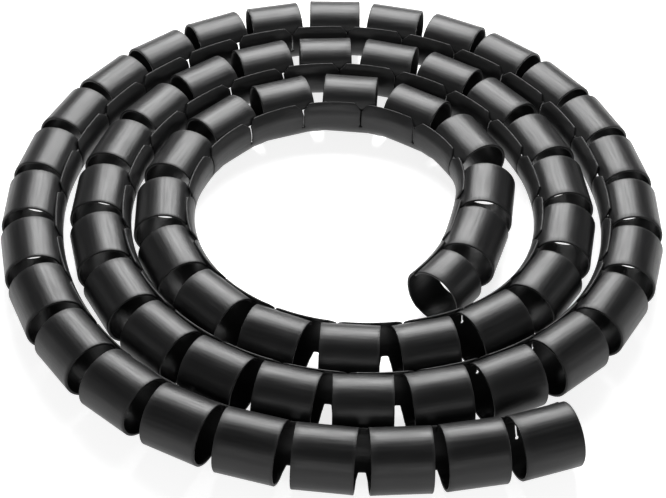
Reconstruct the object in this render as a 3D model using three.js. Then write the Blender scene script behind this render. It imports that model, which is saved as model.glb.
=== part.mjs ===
// Spiral cable wrap: one slit plastic tube with interlocking fingers, lying as a flat coil.
// Millimetres, +Z up. It rests on z = 0, with the origin under the middle of its box.
import * as THREE from 'three';

// The tube as it is cut, before it is coiled.
const TUBE_OD = 28; // across the flats of its section
const WALL = 1.2;
const SIDES = 12; // flats round the section, one of them face down
const FINGER_WIDTH = 26;
const SLOT_WIDTH = 2.75; // between two fingers, where they leave the spine
const FINGER_COUNT = 65;
const END_FINGER = 18.5; // what the cut at the inner end leaves of the first finger

// Angles round the section in degrees: 0 faces the middle of the coil and 90 is up.
// The fingers leave the spine downwards and go round the outer side and over the top.
const SPINE_LOW = -48; // where the fingers and their slots begin
const TAB_ROOT = -15; // where the tabs and their slots begin
const FINGER_TIP = -330;
const TAB_BEND = 18;
const TAB_TOP = 42;
const TWIST = -24; // of the tube at its outer end
const TWIST_FROM = 2.6; // turns from the inner end where the twist begins and is complete
const TWIST_TO = 2.88;
const SPINE_ANGLE = -22; // of the line on the spine that keeps its length in the bend

// The lips: the fingers' tips are tucked in, and the tabs lie over them.
const TIP_TUCK = 1.3;
const LIP_CLEARANCE = 0.35;
const TAB_SLOT = 1.8; // between two tabs at their roots
const TAB_SLOT_MOUTH = 3.2; // the same at the tabs' tops
const TAB_OFFSET = -6.5; // from the middle of a finger to the tab slot beside it

// The coil: its centre line's distance from the pole grows by the same amount every turn,
// and a few bows of given height and width, in turns, make it lie as a loose coil does.
const INNER_RADIUS = 64.8;
const RING_GAP = 2.6; // between a ring's tabs and the ring inside it, where no bow widens it
const INNER_END_ANGLE = -56.2;
const BOWS = [
  { turn: -0.08, height: 15, width: 0.077 },
  { turn: 0.13, height: -5.1, width: 0.07 },
  { turn: 1.066, height: 5.6, width: 0.1 },
  { turn: 1.866, height: -1.8, width: 0.26 },
  { turn: 2.076, height: 6.9, width: 0.1 },
  { turn: 2.886, height: -3.4, width: 0.08 },
  { turn: 3.026, height: 9.5, width: 0.05 },
];

const DEGREE = Math.PI / 180;
const RADIUS = TUBE_OD / 2;
const PITCH = FINGER_WIDTH + SLOT_WIDTH; // along the spine
const FACET = 360 / SIDES;
const TAB_FLAT = RADIUS - TIP_TUCK + LIP_CLEARANCE + WALL;
const RING_SPACING = RADIUS + sectionRadius(TAB_BEND, TAB_FLAT) * Math.cos(TAB_BEND * DEGREE) + RING_GAP;
const SPINE_LEVER = RADIUS * Math.cos(SPINE_ANGLE * DEGREE);

// Polar radius of the section at an angle, for flats at the given distance from its middle.
function sectionRadius(angle, flat) {
  const fromFlat = angle - FACET * Math.round(angle / FACET);
  return flat / Math.cos(fromFlat * DEGREE);
}

// Point of the coil's centre line after so many turns from its inner end, with its directions.
function centreLine(turn) {
  const place = (u) => {
    const bow = BOWS.reduce((sum, b) => sum + b.height * Math.exp(-(((u - b.turn) / b.width) ** 2)), 0);
    const radius = INNER_RADIUS + RING_SPACING * u + bow;
    const angle = (INNER_END_ANGLE + 360 * u) * DEGREE;
    return new THREE.Vector3(radius * Math.cos(angle), radius * Math.sin(angle), RADIUS);
  };
  const step = 1e-4;
  const point = place(turn);
  const along = place(turn + step).sub(place(turn - step)).normalize();
  const inward = new THREE.Vector3(-along.y, along.x, 0);
  return { point, along, inward };
}

// The fingers' frames, each with half the finger's width and its twist. They are spaced along the coil by their
// distance on the spine, which keeps its length in the bend.
function framesAt(fingers) {
  const step = 1e-3;
  const spine = (turn) => {
    const { point, inward } = centreLine(turn);
    return point.addScaledVector(inward, SPINE_LEVER);
  };
  const frames = [];
  let turn = 0;
  let travelled = 0;
  let last = spine(0);
  for (const { distance, half } of fingers) {
    while (travelled < distance) {
      turn += step;
      const next = spine(turn);
      travelled += next.distanceTo(last);
      last = next;
    }
    const twist = TWIST * THREE.MathUtils.smoothstep(turn, TWIST_FROM, TWIST_TO);
    frames.push({ ...centreLine(turn), half, twist });
  }
  return frames;
}

// A straight finger's ends stand out from the curve, so each one is set in by half of that.
function settle(frame) {
  const reach = Math.hypot(frame.point.x, frame.point.y);
  frame.point.addScaledVector(frame.inward, frame.half ** 2 / (4 * reach));
  return frame;
}

// The wall is a sheet of vertices, each a pair of points on its outer and inner faces.
const sheet = { outer: [], inner: [], faces: [] };

function wallVertex(frame, shift, angle, flat = RADIUS) {
  const place = (distance) => {
    const turned = angle + frame.twist;
    const radius = sectionRadius(turned, distance);
    const point = frame.point.clone().addScaledVector(frame.along, shift);
    point.addScaledVector(frame.inward, radius * Math.cos(turned * DEGREE));
    point.z += radius * Math.sin(turned * DEGREE);
    return point;
  };
  sheet.outer.push(place(flat));
  sheet.inner.push(place(flat - WALL));
  return sheet.outer.length - 1;
}

// The frame half-way across a slot, where the spine and the tab over it bend.
function bendFrame(a, b) {
  const end = a.point.clone().addScaledVector(a.along, a.half);
  const start = b.point.clone().addScaledVector(b.along, -b.half);
  return {
    point: end.add(start).multiplyScalar(0.5),
    along: a.along.clone().add(b.along).normalize(),
    inward: a.inward.clone().add(b.inward).normalize(),
    twist: (a.twist + b.twist) / 2,
  };
}

// A face from corners that run anticlockwise with the coil's run to the right and the angle up,
// which is seen from inside the tube, so the triangles take them the other way round.
function face(...corners) {
  for (let k = 2; k < corners.length; k += 1) {
    sheet.faces.push([corners[0], corners[k], corners[k - 1]]);
  }
}

// One finger: a straight strip from the spine, under the tube, up its outer side and over its top.
function addFinger(frame) {
  const angles = [SPINE_LOW];
  for (let edge = FACET / 2; edge - frame.twist > FINGER_TIP + 1; edge -= FACET) {
    if (edge - frame.twist < SPINE_LOW - 1) angles.push(edge - frame.twist);
  }
  angles.push(FINGER_TIP);
  const tuckFrom = FINGER_TIP + 1.5 * FACET - 1;
  const rows = angles.map((angle) => {
    const flat = angle < tuckFrom ? RADIUS - TIP_TUCK : RADIUS;
    return [-1, 1].map((side) => wallVertex(frame, side * frame.half, angle, flat));
  });
  for (let k = 1; k < rows.length; k += 1) {
    face(rows[k][0], rows[k][1], rows[k - 1][1], rows[k - 1][0]);
  }
  return rows[0];
}

// The three points of a tab's edge, from its root on the spine to its top.
function tabEdge(frame, shift, shiftAtTop = shift) {
  return [
    wallVertex(frame, shift, TAB_ROOT),
    wallVertex(frame, shift, TAB_BEND, TAB_FLAT),
    wallVertex(frame, shiftAtTop, TAB_TOP, TAB_FLAT),
  ];
}

// A tab through the edges given: the first and last are its sides, and it bends at one between.
function addTab(...edges) {
  for (let k = 1; k < edges.length; k += 1) {
    const [from, to] = [edges[k - 1], edges[k]];
    for (let row = 1; row < from.length; row += 1) {
      face(from[row - 1], to[row - 1], to[row], from[row]);
    }
  }
}

// The whole wrap: straight fingers on a spine that bends at every slot, and the tabs over the slots.
function buildWrap() {
  const fingers = Array.from({ length: FINGER_COUNT }, (_, k) => ({
    distance: k ? END_FINGER - FINGER_WIDTH / 2 + k * PITCH : END_FINGER / 2,
    half: (k ? FINGER_WIDTH : END_FINGER) / 2,
  }));
  const frames = framesAt(fingers).map(settle);
  const roots = frames.map(addFinger);
  const slotSide = (frame, side) =>
    tabEdge(frame, TAB_OFFSET + (side * TAB_SLOT) / 2, TAB_OFFSET + (side * TAB_SLOT_MOUTH) / 2);
  const innerEnd = tabEdge(frames[0], -frames[0].half);
  const before = frames.map((frame, k) => (k ? slotSide(frame, -1) : innerEnd));
  const after = frames.map((frame, k) => (k ? slotSide(frame, 1) : innerEnd));

  frames.forEach((frame, k) => {
    const [left, right] = roots[k];
    if (k === 0) {
      face(left, right, innerEnd[0]);
      return;
    }
    face(left, right, after[k][0], before[k][0]);
    const bend = tabEdge(bendFrame(frames[k - 1], frame), 0);
    face(roots[k - 1][1], left, before[k][0], bend[0], after[k - 1][0]);
    addTab(after[k - 1], bend, before[k]);
  });

  const last = frames.length - 1;
  const outerEnd = tabEdge(frames[last], frames[last].half);
  face(roots[last][1], outerEnd[0], after[last][0]);
  addTab(after[last], outerEnd);
}

// Closes the sheet into a solid wall: outer faces, inner faces and a strip along every free edge.
function thicken({ outer, inner, faces }) {
  const count = outer.length;
  const triangles = [];
  const open = new Map();
  for (const [a, b, c] of faces) {
    triangles.push(a, b, c, count + a, count + c, count + b);
    for (const [from, to] of [[a, b], [b, c], [c, a]]) {
      if (!open.delete(`${to},${from}`)) open.set(`${from},${to}`, [from, to]);
    }
  }
  for (const [from, to] of open.values()) {
    triangles.push(to, from, count + from, to, count + from, count + to);
  }
  const geometry = new THREE.BufferGeometry().setFromPoints([...outer, ...inner]);
  geometry.setIndex(triangles);
  return geometry;
}

buildWrap();
const geometry = thicken(sheet);
geometry.computeBoundingBox();
const box = geometry.boundingBox;
geometry.translate(-(box.min.x + box.max.x) / 2, -(box.min.y + box.max.y) / 2, -box.min.z);
geometry.computeVertexNormals();

const blackPlastic = new THREE.MeshStandardMaterial({ color: 0x17181a, roughness: 0.42, metalness: 0 });
const wrap = new THREE.Mesh(geometry, blackPlastic);
wrap.name = 'cable_wrap';

const part = new THREE.Group();
part.add(wrap);
export default part;
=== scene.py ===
"""Cable wrap lying as a flat coil: a slit tube whose fingers close under a row of tabs."""
import math

import bpy
import numpy as np
from mathutils import Matrix, Vector
from mathutils.geometry import delaunay_2d_cdt


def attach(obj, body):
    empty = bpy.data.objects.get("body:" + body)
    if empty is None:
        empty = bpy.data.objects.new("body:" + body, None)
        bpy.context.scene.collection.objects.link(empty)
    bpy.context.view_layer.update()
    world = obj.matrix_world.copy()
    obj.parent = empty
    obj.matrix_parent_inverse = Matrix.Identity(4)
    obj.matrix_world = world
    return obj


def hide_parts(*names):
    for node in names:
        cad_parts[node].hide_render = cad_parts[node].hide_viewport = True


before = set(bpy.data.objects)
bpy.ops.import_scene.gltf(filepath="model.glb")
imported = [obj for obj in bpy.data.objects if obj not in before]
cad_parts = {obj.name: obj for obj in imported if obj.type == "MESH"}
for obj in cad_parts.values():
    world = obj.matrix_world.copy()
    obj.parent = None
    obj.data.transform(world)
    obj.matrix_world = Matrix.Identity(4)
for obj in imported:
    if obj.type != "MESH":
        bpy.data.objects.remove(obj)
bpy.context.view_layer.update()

MM = 0.001

# The tube as it is cut, in millimetres: the same sizes as the solid's.
TUBE_OD = 28.0
WALL = 1.2
FINGER_WIDTH = 26.0
SLOT_WIDTH = 2.75
FINGER_COUNT = 65
END_FINGER = 18.5       # what the cut at the inner end leaves of the first finger
SPINE_LOW = -48.0
SPINE_ANGLE = -22.0     # of the line on the spine that keeps its length in the bend
SPINE_HIGH = -15.0
FINGER_TIP = -330.0
TAB_TOP = 42.0
TAB_RISE = 0.8          # how far the tabs stand out over the tube
TIP_TUCK = 0.6          # how far the fingers' tips are tucked in under them
TAB_OFFSET = -6.5       # from the middle of a finger to the tab slot beside it
TWIST = -24.0           # of the tube at its outer end
TWIST_FROM = 2.6        # turns from the inner end where the twist begins and is complete
TWIST_TO = 2.88
FINGER_PLAY = (0.22, 0.3)       # how far the fingers' tips stray outwards and sideways, most of the time
MOST_PLAY = 0.5                 # and at most
PLAY_SEED = 11

# The coil's centre line.
INNER_RADIUS = 64.8
RING_SPACING = 30.46
INNER_END_ANGLE = -56.2
BOWS = ((-0.08, 15.0, 0.077), (0.13, -5.1, 0.07), (1.066, 5.6, 0.10), (1.866, -1.8, 0.26),
        (2.076, 6.9, 0.10), (2.886, -3.4, 0.08), (3.026, 9.5, 0.05))   # turn, height and width of each bow

# Edges and small forms, in millimetres.
EDGE = 0.28             # chamfer along every cut edge
ROOT_CORNER = 0.4       # round corners at the fingers' slots
TIP_CORNER = 2.0
TAB_CORNER = 0.9
TAB_SLOT = 0.7          # width of the slot between two tabs
TAB_SLOT_MOUTH = 7.0    # the same at the tabs' tops
MOUTH_DEPTH = 3.4       # from the tabs' tops to where the slot is narrow
HOLE = 0.8              # radius of the round hole that ends it

# Where one form passes into the next, in degrees of the section.
TUCK_FROM = 306.0       # a finger's tip moves in from here on, counted down from the coil's middle
TUCK_TO = 322.0
PLAY_FROM = 120.0       # and its stray grows from here on
PLAY_TO = 300.0
TAB_FULL = 28.0         # the tabs stand out in full from here on, counted up
BEND_FROM = SPINE_LOW - 14.0    # a slot's sides begin to bend with the coil
BEND_TO = SPINE_LOW - 2.0
SPINE_FROM = SPINE_LOW - 3.0    # the spine follows the curve
SPINE_TO = SPINE_HIGH + 3.0
SLOT_BLEND = 2.5                # millimetres from a slot where its sides begin to bend

# The mesh, in millimetres.
ROW_STEP = 1.75         # round the tube
RUN_STEP = 4.3          # along the tube
CLEAR = 0.7             # from the rim to the nearest point inside the face
JOIN_POINTS = 10        # on the line where two pitches join
HOLE_POINTS = 11
MITRE_LEAST = 0.7       # keeps a sharp corner's inset short

RADIUS = TUBE_OD / 2
PITCH = FINGER_WIDTH + SLOT_WIDTH
CUT = FINGER_WIDTH - END_FINGER
SPINE_LEVER = RADIUS * math.cos(math.radians(SPINE_ANGLE))


def smooth(x, low, high):
    """Rises from 0 at low to 1 at high along a smooth S."""
    t = np.clip((x - low) / (high - low), 0.0, 1.0)
    return t * t * (3.0 - 2.0 * t)


def arc_length(degrees):
    """Millimetres round the tube's outside for an angle of its section."""
    return math.radians(degrees) * RADIUS


# The coil


def centre_line(turn):
    """Points of the centre line after so many turns from the inner end, and its run and inward directions.
    The distance from the pole is a straight line in the turns with a few bell-shaped bows on it."""
    def place(u):
        radius = INNER_RADIUS + RING_SPACING * u
        for at, height, width in BOWS:
            radius = radius + height * np.exp(-(((u - at) / width) ** 2))
        angle = np.radians(INNER_END_ANGLE + 360.0 * u)
        return np.stack([radius * np.cos(angle), radius * np.sin(angle), np.full_like(angle, RADIUS)], -1)

    point = place(turn)
    run = place(turn + 1e-4) - place(turn - 1e-4)
    run /= np.linalg.norm(run, axis=1)[:, None]
    inward = np.stack([-run[:, 1], run[:, 0], np.zeros(len(run))], -1)
    return point, run, inward


def spine_turns():
    """Turns along the coil and the distance travelled on its spine, which the bend doesn't stretch."""
    turns = np.linspace(-0.02, 4.2, 8000)
    point, _, inward = centre_line(turns)
    spine = point + SPINE_LEVER * inward
    travelled = np.concatenate([[0.0], np.cumsum(np.linalg.norm(np.diff(spine, axis=0), axis=1))])
    return turns, travelled - np.interp(0.0, turns, travelled)


TURNS, TRAVELLED = spine_turns()
PLAY = np.random.default_rng(PLAY_SEED).normal(0.0, FINGER_PLAY, (FINGER_COUNT, 2))
STRAY = np.clip(PLAY, -MOST_PLAY, MOST_PLAY)


def line_at(distance):
    """The centre line's point, run and inward direction at distances along the spine."""
    return centre_line(np.interp(distance, TRAVELLED, TURNS))


def twist_at(distance):
    """Radians that the section is turned by at distances along the spine."""
    return math.radians(TWIST) * smooth(np.interp(distance, TRAVELLED, TURNS), TWIST_FROM, TWIST_TO)


def lay(along, arc, depth):
    """Carries points of the flat blank onto the coil. along is the distance on the spine, arc the distance
    round the section and depth how far inside the outer face. The angle round the section is arc over the
    radius, plus the twist there. Fingers stay straight, with a small stray that grows towards their tips,
    the spine and the tabs follow the curve, and the two are blended across the spine and in the slots."""
    angle = arc / RADIUS
    degrees = np.degrees(angle)
    tuck = TIP_TUCK * smooth(-degrees, TUCK_FROM, TUCK_TO)
    rise = TAB_RISE * smooth(degrees, SPINE_HIGH, TAB_FULL)
    radius = RADIUS - tuck + rise - depth

    def outwards(distance, inward, at):
        """From the centre line to the points at a distance from it: a level share and an upright one."""
        turned = angle + twist_at(at)
        level = (distance * np.cos(turned))[:, None] * inward
        return level + np.outer(distance * np.sin(turned), (0.0, 0.0, 1.0))

    point, _, inward = line_at(along)
    curved = point + outwards(radius, inward, along)

    cell = np.clip(np.floor((along + CUT + SLOT_WIDTH / 2) / PITCH), 0, FINGER_COUNT - 1).astype(int)
    middle = np.where(cell > 0, cell * PITCH + FINGER_WIDTH / 2 - CUT, END_FINGER / 2)
    half = np.where(cell > 0, FINGER_WIDTH, END_FINGER) / 2
    point, run, inward = line_at(middle)
    reach = np.linalg.norm(point[:, :2], axis=1)
    shift = (along - middle)[:, None]
    straight = point + (half ** 2 / (4 * reach))[:, None] * inward
    outward, sideways = (STRAY[cell] * smooth(-degrees, PLAY_FROM, PLAY_TO)[:, None]).T
    straight += (shift + sideways[:, None]) * run + outwards(radius + outward, inward, middle)

    from_edge = np.abs(along - middle) - half
    in_slot = smooth(from_edge, -SLOT_BLEND, SLOT_WIDTH / 2) * smooth(degrees, BEND_FROM, BEND_TO)
    on_spine = smooth(degrees, SPINE_FROM, SPINE_TO)
    weight = (1.0 - (1.0 - in_slot) * (1.0 - on_spine))[:, None]
    return straight * (1.0 - weight) + curved * weight


# The flat blank of one pitch


def fillet(before, corner, after, radius, steps=4):
    """Points of a round corner: an arc of that radius that touches both sides of the corner."""
    corner = np.array(corner, float)
    a = np.array(before, float) - corner
    b = np.array(after, float) - corner
    a /= np.linalg.norm(a)
    b /= np.linalg.norm(b)
    half = 0.5 * math.acos(float(np.clip(a @ b, -1, 1)))
    reach = radius / math.tan(half)
    centre = corner + (a + b) / np.linalg.norm(a + b) * (radius / math.sin(half))
    start = corner + a * reach - centre
    end = corner + b * reach - centre
    turn = math.atan2(start[0] * end[1] - start[1] * end[0], start @ end)
    angles = np.linspace(0, turn, steps + 1)
    c, s = np.cos(angles), np.sin(angles)
    return [tuple(centre + (c[k] * start[0] - s[k] * start[1], s[k] * start[0] + c[k] * start[1]))
            for k in range(steps + 1)]


def rounded(corners):
    """A chain of points from (x, y, radius) corners, each inner one rounded."""
    out = [corners[0][:2]]
    for before, here, after in zip(corners, corners[1:], corners[2:]):
        if here[2]:
            out += fillet(before[:2], here[:2], after[:2], here[2])
        else:
            out.append(here[:2])
    out.append(corners[-1][:2])
    return out


def finer(chain, step):
    """The same chain with points added so that no two are further apart than step."""
    out = [chain[0]]
    for a, b in zip(chain, chain[1:]):
        count = max(1, math.ceil(math.dist(a, b) / step))
        out += [(a[0] + (b[0] - a[0]) * k / count, a[1] + (b[1] - a[1]) * k / count)
                for k in range(1, count + 1)]
    return np.array(out)


def finger_chain(left, right):
    """The lower edge of a pitch: in at the slot's root, down a finger's side, across its tip and back up."""
    root, tip = arc_length(SPINE_LOW), arc_length(FINGER_TIP)
    start = 0.0 if left else CUT
    chain = [(-SLOT_WIDTH / 2, root, 0), (start, root, ROOT_CORNER)] if left else []
    chain += [(start, tip, TIP_CORNER), (FINGER_WIDTH, tip, TIP_CORNER)]
    chain += [(FINGER_WIDTH, root, ROOT_CORNER), (PITCH - SLOT_WIDTH / 2, root, 0)] if right else []
    return chain


def tab_chain():
    """The upper edge, right to left: down the slot's mouth, round the hole that ends it and out again."""
    top, hole = arc_length(TAB_TOP), arc_length(SPINE_HIGH) + HOLE
    middle = FINGER_WIDTH / 2 + TAB_OFFSET
    neck = math.asin(TAB_SLOT / 2 / HOLE)
    angles = np.linspace(math.pi / 2 - neck, -3 * math.pi / 2 + neck, HOLE_POINTS)
    ring = [(middle + HOLE * math.cos(a), hole + HOLE * math.sin(a), 0) for a in angles]

    def mouth(side):
        return [(middle + side * TAB_SLOT_MOUTH / 2, top, TAB_CORNER),
                (middle + side * TAB_SLOT / 2, top - MOUTH_DEPTH, TAB_CORNER)]

    return mouth(1) + ring + mouth(-1)[::-1]


def inset(chain, by):
    """The chain moved into the blank, which lies on its left, by a distance. At a corner a point moves
    along the mean of both sides' normals, stretched so that it stays that far from both."""
    step = chain[1:] - chain[:-1]
    step /= np.linalg.norm(step, axis=1)[:, None]
    before = np.vstack([step[:1], step])
    after = np.vstack([step, step[-1:]])
    normal = np.stack([-before[:, 1] - after[:, 1], before[:, 0] + after[:, 0]], -1)
    normal /= np.maximum((normal * normal).sum(1, keepdims=True) / 2, MITRE_LEAST)
    return chain + by * normal


RINGS = ((EDGE, 0.0), (0.0, EDGE), (0.0, WALL - EDGE), (EDGE, WALL))   # inset and depth of each rim ring


def inside(points, loop):
    """Which points lie inside a closed loop and clear of its edges."""
    a, b = loop, np.roll(loop, -1, axis=0)
    px, py = points[:, :1], points[:, 1:]
    crosses = (a[:, 1] > py) != (b[:, 1] > py)
    rise = np.where(a[:, 1] == b[:, 1], 1.0, b[:, 1] - a[:, 1])
    at = a[:, 0] + (py - a[:, 1]) / rise * (b[:, 0] - a[:, 0])
    odd = (crosses & (px < at)).sum(1) % 2 == 1
    edge = b - a
    to = points[:, None] - a[None]
    along = np.clip((to * edge).sum(2) / np.maximum((edge * edge).sum(1), 1e-12), 0, 1)
    gap = np.linalg.norm(to - along[..., None] * edge, axis=2).min(1)
    return odd & (gap > CLEAR)


def blank(first, last):
    """One pitch of the blank as (x, y, depth) points, triangles and a flag for the rim's points. The outline
    runs anticlockwise. Its cut edges get a rim of three strips between the outer and the inner face, and
    the sides where it joins the next pitch get none."""
    left, right = -SLOT_WIDTH / 2, PITCH - SLOT_WIDTH / 2
    root, top = arc_length(SPINE_LOW), arc_length(TAB_TOP)
    low = finger_chain(not first, not last)
    high = tab_chain()
    if first:
        chains = [[(right, top, 0), (CUT, top, TAB_CORNER / 2)] + low]
    elif last:
        chains = [low + [(FINGER_WIDTH, top, TAB_CORNER / 2)] + high + [(left, top, 0)]]
    else:
        chains = [low, [(right, top, 0)] + high + [(left, top, 0)]]
    chains = [finer(rounded(chain), ROW_STEP) for chain in chains]

    points, triangles, outer, inner = [], [], [], []
    count = 0
    for chain in chains:
        rows = []
        for by, depth in RINGS:
            ring = inset(chain, by)
            rows.append(count + np.arange(len(ring)))
            points.append(np.column_stack([ring, np.full(len(ring), depth)]))
            count += len(ring)
        for upper, lower in zip(rows, rows[1:]):
            a, b, c, d = upper[:-1], upper[1:], lower[1:], lower[:-1]
            triangles += [np.stack([a, b, c], -1), np.stack([a, c, d], -1)]
        outer.append(rows[0])
        inner.append(rows[-1])
    on_rim = count

    # The sides where pitches join, upwards on the right and downwards on the left.
    heights = np.linspace(root + EDGE, top - EDGE, JOIN_POINTS + 2)[1:-1]
    up = np.column_stack([np.full(len(heights), right), heights])
    down = np.column_stack([np.full(len(heights), left), heights[::-1]])
    xs = np.arange(RUN_STEP, PITCH, RUN_STEP) - SLOT_WIDTH / 2
    ys = np.arange(arc_length(FINGER_TIP), top, ROW_STEP)
    grid = np.stack(np.meshgrid(xs, ys), -1).reshape(-1, 2)
    for rims, depth in ((outer, 0.0), (inner, WALL)):
        loop_at, loop_points = [], []
        sides = [up] if first else [down] if last else [up, down]
        for k, row in enumerate(rims):
            loop_at.append(row)
            loop_points.append(np.vstack(points)[row, :2])
            if k < len(sides):
                loop_at.append(count + np.arange(len(heights)))
                loop_points.append(sides[k])
                points.append(np.column_stack([sides[k], np.full(len(heights), depth)]))
                count += len(heights)
        loop = np.vstack(loop_points)
        within = grid[inside(grid, loop)]
        points.append(np.column_stack([within, np.full(len(within), depth)]))
        index = np.concatenate(loop_at + [count + np.arange(len(within))])
        count += len(within)
        corners = [Vector(p) for p in np.vstack([loop, within])]
        _, _, faces, origin, _, _ = delaunay_2d_cdt(corners, [], [list(range(len(loop)))], 1, 1e-5)
        came = np.array([o[0] for o in origin])
        faces = index[came[np.array(faces)]]
        triangles.append(faces if depth else faces[:, ::-1])
    points = np.vstack(points)
    return points, np.vstack(triangles), np.arange(len(points)) < on_rim


def wrap_mesh():
    """The whole wrap: the pitches of the blank side by side, welded and laid on the coil."""
    kinds = {key: blank(*key) for key in ((True, False), (False, False), (False, True))}
    points, triangles, rim = [], [], []
    count = 0
    for k in range(FINGER_COUNT):
        cell, faces, flag = kinds[k == 0, k == FINGER_COUNT - 1]
        points.append(cell + np.array([k * PITCH - CUT, 0.0, 0.0]))
        triangles.append(faces + count)
        rim.append(flag)
        count += len(cell)
    points, triangles, rim = np.vstack(points), np.vstack(triangles), np.concatenate(rim)
    _, keep, back = np.unique(np.round(points, 3), axis=0, return_index=True, return_inverse=True)
    points, rim, triangles = points[keep], rim[keep], back.reshape(-1)[triangles]
    placed = lay(points[:, 0], points[:, 1], points[:, 2])
    middle = (placed.min(0) + placed.max(0)) / 2
    middle[2] = placed[:, 2].min()
    return (placed - middle) * MM, triangles, points[:, :2] * MM, rim, middle * MM


vertices, faces, flat, rim, POLE_SHIFT = wrap_mesh()
mesh = bpy.data.meshes.new("wrap")
mesh.from_pydata(vertices, [], faces)
corner_uv = flat[faces.reshape(-1)].astype(np.float32)
mesh.uv_layers.new(name="blank").data.foreach_set("uv", corner_uv.reshape(-1))
mesh.attributes.new("cut_edge", "FLOAT", "POINT").data.foreach_set("value", rim.astype(np.float32))
mesh.polygons.foreach_set("use_smooth", np.ones(len(faces), bool))
wrap = bpy.data.objects.new("wrap", mesh)
bpy.context.scene.collection.objects.link(wrap)
weighted = wrap.modifiers.new("normals", "WEIGHTED_NORMAL")
weighted.keep_sharp = True
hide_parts("cable_wrap")
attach(wrap, "root")


# Materials


class Value:
    """A node socket that can be reckoned with like a number."""

    def __init__(self, tree, socket):
        self.tree = tree
        self.socket = socket

    def _math(self, operation, *values):
        node = self.tree.nodes.new("ShaderNodeMath")
        node.operation = operation
        for slot, value in zip(node.inputs, values):
            if isinstance(value, Value):
                self.tree.links.new(value.socket, slot)
            else:
                slot.default_value = value
        return Value(self.tree, node.outputs[0])

    def __add__(self, other):
        return self._math("ADD", self, other)

    def __radd__(self, other):
        return self._math("ADD", other, self)

    def __sub__(self, other):
        return self._math("SUBTRACT", self, other)

    def __rsub__(self, other):
        return self._math("SUBTRACT", other, self)

    def __mul__(self, other):
        return self._math("MULTIPLY", self, other)

    def __rmul__(self, other):
        return self._math("MULTIPLY", other, self)

    def node(self, kind, output=0, values=None, **settings):
        """The output of any other node. Its sockets come by name or number, as sockets or as constants."""
        made = self.tree.nodes.new(kind)
        for name, value in settings.items():
            setattr(made, name, value)
        for name, value in (values or {}).items():
            if isinstance(value, Value):
                self.tree.links.new(value.socket, made.inputs[name])
            else:
                made.inputs[name].default_value = value
        return Value(self.tree, made.outputs[output])


def material(name):
    """A new material, its Principled shader and a value to build from."""
    made = bpy.data.materials.new(name)
    made.use_nodes = True
    tree = made.node_tree
    return made, tree.nodes["Principled BSDF"], Value(tree, None)


def black_plastic():
    """Satin black. The roughness is a mean with a soft cloud, fine streaks along the tube and a duller cut
    edge added, and the relief is a fine grain with the same streaks."""
    made, shader, build = material("black plastic")
    uv = build.node("ShaderNodeUVMap", uv_map="blank")
    cut = build.node("ShaderNodeAttribute", "Fac", attribute_name="cut_edge")
    stretched = build.node("ShaderNodeMapping", values={"Vector": uv, "Scale": (0.06, 1.0, 1.0)})
    drawn = build.node("ShaderNodeTexNoise", values={"Vector": stretched, "Scale": 900.0, "Detail": 2.0})
    cloud = build.node("ShaderNodeTexNoise", values={"Vector": uv, "Scale": 60.0, "Detail": 3.0})
    grain = build.node("ShaderNodeTexNoise", values={"Vector": uv, "Scale": 4000.0, "Detail": 2.0})
    roughness = 0.39 + (cloud - 0.5) * 0.10 + (drawn - 0.5) * 0.3 + cut * 0.12
    links = made.node_tree.links
    links.new(roughness.socket, shader.inputs["Roughness"])
    relief = grain + drawn * 1.5
    bump = build.node("ShaderNodeBump", values={"Height": relief, "Strength": 0.09, "Distance": 0.0004})
    links.new(bump.socket, shader.inputs["Normal"])
    shader.inputs["Base Color"].default_value = (0.006, 0.006, 0.0063, 1.0)
    shader.inputs["IOR"].default_value = 1.43
    return made


mesh.materials.append(black_plastic())


# The floor, the lights and the camera


FLOOR_SIZE = 8.0
FLOOR_DROP = 0.0002     # keeps the floor just clear of the wrap

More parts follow.
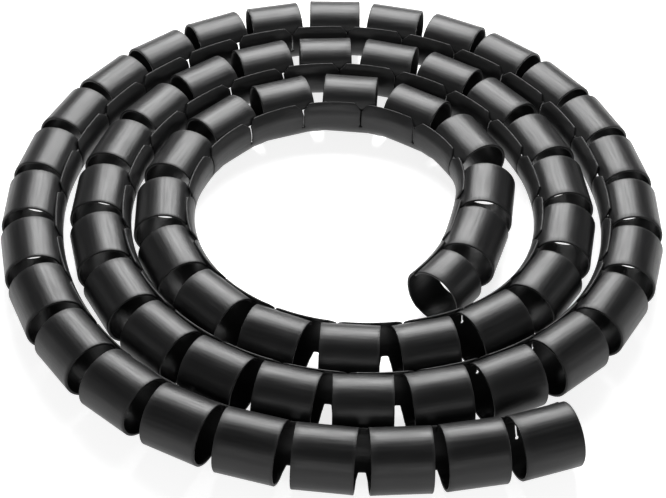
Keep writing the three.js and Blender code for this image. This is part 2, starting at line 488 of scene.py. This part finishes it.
floor_mesh = bpy.data.meshes.new("floor")
half = FLOOR_SIZE / 2
floor_corners = [(-half, -half, 0), (half, -half, 0), (half, half, 0), (-half, half, 0)]
floor_mesh.from_pydata(floor_corners, [], [(0, 1, 2, 3)])
floor = bpy.data.objects.new("floor", floor_mesh)
floor.location.z = -FLOOR_DROP
bpy.context.scene.collection.objects.link(floor)
pale, pale_shader, _ = material("pale floor")
pale_shader.inputs["Emission Color"].default_value = (1.0, 1.0, 1.0, 1.0)
pale_shader.inputs["Base Color"].default_value = (0.6, 0.6, 0.6, 1.0)
pale_shader.inputs["Roughness"].default_value = 0.9
pale_shader.inputs["Emission Strength"].default_value = 0.8
floor_mesh.materials.append(pale)


def soft_light(name, place, aim, size, power):
    """A soft box at a place, turned to face another, with its width and height and its watts."""
    data = bpy.data.lights.new(name, "AREA")
    data.shape = "RECTANGLE"
    data.size, data.size_y = size
    data.energy = power
    lamp = bpy.data.objects.new(name, data)
    lamp.location = place
    lamp.rotation_euler = (Vector(aim) - Vector(place)).to_track_quat("-Z", "Y").to_euler()
    bpy.context.scene.collection.objects.link(lamp)


soft_light("near soft box", (0.0, 0.43, 0.42), (0.0, -0.02, 0.0), (0.5, 0.42), 8.4)
soft_light("right soft box", (1.3, -0.1, 0.36), (0, 0, 0), (0.7, 0.4), 1.5)
soft_light("left soft box", (-1.3, -0.1, 0.36), (0, 0, 0), (0.7, 0.4), 1.0)
soft_light("front soft box", (0, -1.3, 0.5), (0, 0, 0), (1.8, 0.5), 6.0)

world = bpy.context.scene.world or bpy.data.worlds.new("world")
bpy.context.scene.world = world
world.use_nodes = True
background = world.node_tree.nodes["Background"]
background.inputs["Color"].default_value = (1.0, 1.0, 1.0, 1.0)
background.inputs["Strength"].default_value = 0.12
bpy.context.scene.view_settings.view_transform = "Standard"

# The camera looks at a point near the coil's pole.
ELEVATION = math.radians(44.77)
DISTANCE = 0.82975
LENS = 95.1
ROLL = math.radians(1.14)
TARGET = Vector((-0.0056, -0.0130, 0.0))

back = Vector((0, -math.cos(ELEVATION), math.sin(ELEVATION)))
level_up = Vector((0, math.sin(ELEVATION), math.cos(ELEVATION)))
right = Vector((1, 0, 0)) * math.cos(ROLL) + level_up * math.sin(ROLL)
up = back.cross(right)
turned = Matrix((right, up, back)).transposed().to_4x4()
turned.translation = TARGET - Vector(POLE_SHIFT) + back * DISTANCE
view = bpy.data.cameras.new("view")
view.sensor_fit = "HORIZONTAL"
view.sensor_width = 36.0
view.lens = LENS
camera = bpy.data.objects.new("camera", view)
camera.matrix_world = turned
bpy.context.scene.collection.objects.link(camera)
bpy.context.scene.camera = camera
